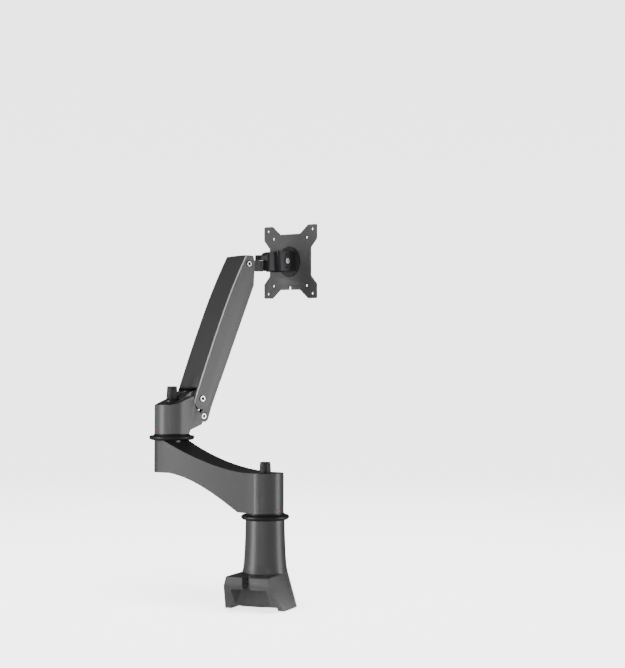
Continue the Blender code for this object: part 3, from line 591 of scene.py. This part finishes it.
def side_bolt(build, node, parent, place, sign, face, reach):
    """Socket-headed bolt with a chamfered rim, and its socket painted near-black as painted shade. Reach is
    its far end, a signed Y.
    """
    height, depth = 1.9, 1.5
    low = sign * reach
    profile = [(0, low), (BOLT_R, low), (BOLT_R, face + GAP), (4.9, face + GAP), (4.9, face + 0.7)]
    profile += [(4.5, face + 1.4), (4.0, face + height), (0, face + height)]
    mesh = cut(turned(profile, 64), rod(SOCKET_R, face + height - depth, face + 5, steps=6))
    # Painted shade: faces inside the socket, below the head's top, get the near-black second finish.
    floor, rim = MM * (face + height - depth - 0.05), MM * (face + height - 0.05)
    middles = [polygon.center for polygon in mesh.polygons]
    inside = [floor < c.z < rim and math.hypot(c.x, c.y) < MM * SOCKET_R for c in middles]
    mesh.transform(Matrix.Rotation(-sign * math.pi / 2, 4, "X"))
    mesh.transform(Matrix.Translation((MM * place[0], 0, MM * place[1])))
    bolt = build.stand_in(node, mesh, parent)
    bolt.data.materials.append(build.paints["socket"])
    for polygon, shaded in zip(bolt.data.polygons, inside):
        polygon.material_index = int(shaded)


def arm_border(x):
    """Height of the side walls' back edge above the pivot line: highest in the middle of the arm."""
    drop, length = (3.0, 126.0) if x < 130 else (5.4, 99.0)
    return 15.0 - drop * ((x - 130) / length) ** 2


def make_arm(build):
    """Channel shell with a crowned back, a painted highlight in light grey on its chamfered edges, and open
    underneath.
    """

    def section(x):
        border = arm_border(x)
        flat = 1 + max(x - 163, 0) * 0.17
        columns = [flat + (ARM_HALF - CHAMFER - flat) * i / 9 for i in range(10)]
        back = [(x, y, border + CROWN * (1 - (y / ARM_HALF) ** 2)) for y in columns]
        mirrored = [(x, -y, z) for _, y, z in reversed(back)]
        edges = [(x, -ARM_HALF, border - CHAMFER), (x, ARM_HALF, border - CHAMFER)]
        return [(x, -ARM_HALF, -40), edges[0], *mirrored, *back, edges[1], (x, ARM_HALF, -40)]

    stations = [-30 + 193 * i / 30 for i in range(31)] + [163 + 89 * i / 14 for i in range(1, 15)]
    shell = loft([section(x) for x in stations])
    lower_end = arc((0, 0), 15.5, 100, 272, 48)
    front = rounded([(33, -19.2, 0), (38.5, -21.5, 3), (197, -22.6, 4), (229.5, -10.5, 0)], 6)
    tip = [(236.5, -4.5), (237.4, -2.4), (223, 30), (0, 30)]
    ceiling = [(x, arm_border(x) - 1.6) for x in range(12, 246, 9)]
    inside = [(-40, 40), (12, 40), *ceiling, (260, -60), (-40, -60)]
    inner = ARM_HALF - WALL
    shell = cut(
        keep(shell, prism(lower_end + front + tip, -40, 40, "XZ")),
        prism(inside, -inner, inner, "XZ"),
        rod(BOLT_R + GAP, -40, 40, "Y"),
        rod(BOLT_R + GAP, -40, 40, "Y", (ARM_LENGTH, 0, 0)),
        rod(3.8, -21.8, 21.8, "Y", (SPRING_HIGH[0], 0, SPRING_HIGH[1])),
    )
    place = LIFT.inverted()
    shell = build.stand_in("arm_shell", softened(shell, 0.35, 2, 40), LIFT, 20)
    # Painted highlight: faces on the chamfers along the back edges get the light grey second finish.
    shell.data.materials.append(build.paints["chamfer_highlight"])
    for polygon in shell.data.polygons:
        normal = place.to_3x3() @ polygon.normal
        centre = place @ polygon.center
        wide = abs(centre.y) > MM * (ARM_HALF - CHAMFER)
        high = centre.z > MM * (arm_border(centre.x / MM) - CHAMFER)
        if wide and high and min(normal.z, abs(normal.y)) > 0.35:
            polygon.material_index = 1


def make_lower_bar(build):
    """Channel bar that closes the arm's underside and keeps the head level."""
    body = [(0, 2), (0, -7.1), (200, -7.1), (ARM_LENGTH, -5), (ARM_LENGTH, 2)]
    outline = hull(circle((0, 0), 8.4) + [(0, -7.1), (18, -7.1), (18, 2)])
    bar = join(
        prism(outline, -BAR_HALF, BAR_HALF, "XZ"),
        prism(body, -BAR_HALF, BAR_HALF, "XZ"),
        prism(circle((ARM_LENGTH, 0), 6.6), -BAR_HALF, BAR_HALF, "XZ"),
    )
    inner = BAR_HALF - WALL
    hollow = [(-12, 12), (-12, -12), (18, -12), (18, -4.6), (212, -4.6), (212, -12), (234, -12), (234, 12)]
    bar = cut(
        bar,
        prism(hollow, -inner, inner, "XZ"),
        rod(BOLT_R + GAP, -30, 30, "Y"),
        rod(BOLT_R + GAP, -30, 30, "Y", (ARM_LENGTH, 0, 0)),
        rod(5.4, -30, 2.2 - BAR_HALF, "Y"),
        rod(5.4, BAR_HALF - 2.2, 30, "Y"),
    )
    build.stand_in("lower_bar", softened(bar, 0.5), BAR)


def make_bracket(build):
    """Tongue between the arm's sides, and the neck with its upright barrel."""
    eyes = hull(circle((0, 0), 8.2) + circle(BAR_OFFSET, 7.2))
    neck = [(0, BARREL_BOTTOM), (BARREL_X, BARREL_BOTTOM), (BARREL_X, BARREL_TOP), (18, BARREL_TOP)]
    neck += [(16, 5.5), (16, 0.4), (0, 0.4)]
    bracket = join(
        prism(eyes, -TONGUE_HALF, TONGUE_HALF, "XZ"),
        prism(neck, -6, 6, "XZ"),
        rod(BARREL_R, BARREL_BOTTOM, BARREL_TOP, at=(BARREL_X, 0, 0), steps=80),
    )
    bracket = cut(
        bracket,
        rod(BOLT_R + GAP, -30, 30, "Y"),
        rod(BOLT_R + GAP, -30, 30, "Y", (BAR_OFFSET[0], 0, BAR_OFFSET[1])),
        rod(SWIVEL_R + GAP, -20, 30, at=(BARREL_X, 0, 0)),
        rod(4.8, -20, -3.8, at=(BARREL_X, 0, 0)),
    )
    build.stand_in("head_bracket", softened(bracket, 0.5), HEAD)


def make_head_link(build):
    """Lug on the barrel, with the tongue that the tilt block closes on."""
    tilt = (TILT_X - BARREL_X, TILT_Z)
    top = 24.6
    plan = rounded([(11.6, -8.7, 3), (27.5, -8.7, 0), (27.5, 8.7, 0), (11.6, 8.7, 3)])
    roof = [(0, LUG_BOTTOM), (13, LUG_BOTTOM), (13, 21), (4.5, LUG_TOP), (0, LUG_TOP)]
    wedge = [(20, 60), (10, 60), (10, 21.4), (20, top), (30, top), (30, 60)]
    tongue = hull(circle(tilt, 12.3) + [(25, -3.6), (25, 23)])
    link = join(
        rod(LUG_R, LUG_BOTTOM, LUG_TOP, steps=80),
        prism(plan, -4.8, top),
        prism(roof, -LUG_R, LUG_R, "XZ"),
        prism(tongue, -7.3, 7.3, "XZ"),
    )
    link = cut(
        link,
        prism(wedge, -30, 30, "XZ"),
        rod(SWIVEL_R + GAP, 0, 16.0),
        rod(6.5, -30, 30, "Y", (tilt[0], 0, tilt[1])),
    )
    build.stand_in("head_link", softened(link, 0.6), NECK)


def make_tilt_block(build):
    """Clevis with two cheeks, and the pin through them."""
    half, cheek, back, web, near = BLOCK_HALF, 9.0, -18.0, 13.0, 16.2
    outline = rounded(
        [
            (near, half, 0), (back, half, 4.5), (back, cheek, 0), (web, cheek, 0),
            (web, -cheek, 0), (back, -cheek, 0), (back, -half, 4.5), (near, -half, 0),
        ],
        12,
    )
    block = prism(outline, -BLOCK_HEIGHT / 2, BLOCK_HEIGHT / 2)
    block = cut(block, rod(5.0, -30, 30, "Y"), rod(3.3, 5, 30, "X"))
    for sign in (-1, 1):
        low, high = sorted((sign * 15.6, sign * 30))
        block = cut(block, rod(6.2, low, high, "Y", steps=64))
        low, high = sorted((sign * 13.5, sign * 30))
        block = cut(block, *[rod(1.3, low, high, "Y", (-1.8, 0, height), 24) for height in (-9.6, 9.6)])
    build.stand_in("tilt_block", softened(block, 0.6), TILT)
    pin = [(0, -17.4), (4.2, -17.4), (4.7, -16.9), (4.7, 16.9), (4.2, 17.4), (0, 17.4)]
    build.stand_in("tilt_pin", turned(pin, 64, "Y"), TILT)


def make_vesa(build):
    """Plate with its four ears, and the disc behind it."""
    rim = [(DISC_R, -0.3), (DISC_R, -2.6), (DISC_R - 0.4, -3.2), (DISC_R - 1.3, -3.9)]
    rim += [(3.4, -3.9), (3.4, -0.3)]
    corners = [(y, z) for y in (-1, 1) for z in (-1, 1)]
    rivets = [(0, RIVET_PITCH * y, RIVET_PITCH * z) for y, z in corners]
    disc = turned(rim, 128, "X", ring=True)
    bores = [rod(2.3, -8, 8, "X", place, 32) for place in rivets]
    build.stand_in("rotation_disc", cut(disc, *bores), SCREEN)

    ear = [(59, 35, 2), (59, 57.5, 2.5), (41, 57.5, 2.5), (23, 44, 3)]
    quarter = [(46, 22, 3)] + ear
    left_top = [(-y, z, r) for y, z, r in reversed(quarter)]
    left_low = [(-y, -z, r) for y, z, r in quarter]
    right_low = [(y, -z, r) for y, z, r in reversed(quarter)]
    notch = [(-2.8, -44, 0.8), (-2.8, -38, 2.4), (2.8, -38, 2.4), (2.8, -44, 0.8)]
    outline = rounded(quarter + left_top + left_low + notch + right_low)
    pitches = (VESA_HOLES, VESA_SMALL_HOLES)
    holes = [circle((y * pitch, z * pitch), 2.4, 32) for pitch in pitches for y, z in corners]
    plate = prism(outline, 0, PLATE_THICKNESS, "YZ", holes)
    sinks = [rod(2.3, 0.9, 2.9, "X", place, 32, end_radius=4.3) for place in rivets]
    bores = [rod(2.3, -8, 8, "X", place, 32) for place in rivets]
    plate = cut(plate, rod(3.3, -0.6, 3.0, "X", end_radius=6.7), *bores, *sinks)
    build.stand_in("vesa_plate", softened(plate, 0.35), SCREEN)


# ---------------------------------------------------------------- studio


def area_light(name, place, target, size, power):
    data = bpy.data.lights.new(name, "AREA")
    data.shape = "RECTANGLE"
    data.size, data.size_y = size
    data.energy = power
    light = bpy.data.objects.new(name, data)
    light.location = place
    light.rotation_euler = (Vector(target) - light.location).to_track_quat("-Z", "Y").to_euler()
    bpy.context.scene.collection.objects.link(light)
    return light


def make_floor():
    """Pale floor that curves up into a wall all round. It lights nothing and shows in no reflection."""
    flat, curve = FLOOR_R / MM, FLOOR_CURVE_R / MM
    sweep = [(0, 0), (flat, 0)] + arc((flat, curve), curve, -90, 0, 24) + [(flat + curve, WALL_TOP / MM)]
    floor = bpy.data.objects.new("floor", turned(sweep, 96))
    floor.data.shade_smooth()
    floor.modifiers.new("Normals", "WEIGHTED_NORMAL")
    floor.location = (0, 0, MM * LIP_Z)
    bpy.context.scene.collection.objects.link(floor)
    pale = finish("pale floor", (0.84, 0.84, 0.84), 0.9, grain=40, bump=0.0, shade=0.01)
    shader = pale.node_tree.nodes["Principled BSDF"]
    shader.inputs["Specular IOR Level"].default_value = 0.0
    shader.inputs["Emission Color"].default_value = (1, 1, 1, 1)
    shader.inputs["Emission Strength"].default_value = 2.8
    floor.data.materials.append(pale)
    floor.visible_diffuse = floor.visible_glossy = floor.visible_shadow = False
    return floor


def make_world():
    """Dim room, brighter towards the horizon."""
    world = bpy.data.worlds.new("studio")
    bpy.context.scene.world = world
    world.use_nodes = True
    tree = world.node_tree
    height = add_node(tree, "ShaderNodeSeparateXYZ")
    dim = add_node(tree, "ShaderNodeMapRange")
    dim.inputs["From Min"].default_value = 0.0
    dim.inputs["From Max"].default_value = 0.7
    dim.inputs["To Min"].default_value = 0.16
    dim.inputs["To Max"].default_value = 0.02
    tree.links.new(add_node(tree, "ShaderNodeTexCoord").outputs["Generated"], height.inputs["Vector"])
    tree.links.new(height.outputs["Z"], dim.inputs["Value"])
    tree.links.new(dim.outputs["Result"], tree.nodes["Background"].inputs["Strength"])
    tree.nodes["Background"].inputs["Color"].default_value = (1, 1, 1, 1)


def round_the_arm(azimuth, distance, height):
    angle = math.radians(azimuth)
    return (MIDDLE[0] + distance * math.cos(angle), MIDDLE[1] + distance * math.sin(angle), height)


def make_lights(floor):
    """Two strips for the streaks on the castings, a matt fill, two narrow kickers on the foot."""
    left = area_light("left strip", round_the_arm(-134, 1.7, 0.1), MIDDLE, (0.6, 1.2), 21)
    right = area_light("right strip", round_the_arm(17, 1.9, 0.05), MIDDLE, (0.8, 1.2), 17)
    fill = area_light("front fill", round_the_arm(-80, 2.6, 0.02), MIDDLE, (1.2, 0.4), 40)
    fill.visible_glossy = False
    ceiling = area_light("floor light", (0, 0, 3.0), (0, 0, 0), (2.5, 2.5), 240)
    only_floor = bpy.data.collections.new("lit by the floor light")
    only_floor.objects.link(floor)
    ceiling.light_linking.receiver_collection = only_floor
    not_floor = bpy.data.collections.new("not lit by the strips")
    not_floor.objects.link(floor)
    not_floor.collection_objects[0].light_linking.link_state = "EXCLUDE"
    kickers = [
        area_light("foot front kicker", (0.17, -1.03, 0.01), (0.0, -0.04, 0.005), (0.1, 0.04), 0.012),
        area_light("foot side kicker", (1.0, -0.1, -0.02), (0.03, -0.03, 0.0), (0.1, 0.04), 0.035),
    ]
    for lamp in kickers:
        lamp.data.spread = math.radians(6)
        lamp.visible_glossy = False
    for lamp in (left, right, fill, *kickers):
        lamp.light_linking.receiver_collection = not_floor


def make_camera():
    data = bpy.data.cameras.new("camera")
    data.lens = 71.0
    data.sensor_width = 36.0
    camera = bpy.data.objects.new("camera", data)
    camera.location = (0.722, -1.631, 0.277)
    camera.rotation_euler = (math.radians(92.69), 0, math.radians(21.83))
    bpy.context.scene.collection.objects.link(camera)
    bpy.context.scene.camera = camera


def main():
    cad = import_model()
    build = Builder(cad, make_finishes())
    make_base(build)
    make_lower_link(build)
    make_knob(build, "lower_knob", LINK, 164.7)
    swivel_collar(build, "link_collar", LINK_END, LINK_HIGH_TOP_Z)
    make_knuckle(build)
    make_knob(build, "upper_knob", LINK_END, 267.6)
    bar_pivot = (BAR_PIVOT[0], BAR_PIVOT[2])
    for label, sign in (("right", -1), ("left", 1)):
        side_bolt(build, f"lift_bolt_{label}", LINK_END, LIFT_PIVOT, sign, ARM_HALF, sign * 7.6)
        side_bolt(build, f"bar_bolt_{label}", LINK_END, bar_pivot, sign, BAR_HALF - 2.2, sign * 7.6)
    make_arm(build)
    make_lower_bar(build)
    side_bolt(build, "head_bolt", LIFT, (ARM_LENGTH, 0), -1, ARM_HALF, 25.8)
    make_bracket(build)
    make_head_link(build)
    make_tilt_block(build)
    make_vesa(build)
    floor = make_floor()
    make_world()
    make_lights(floor)
    make_camera()


main()
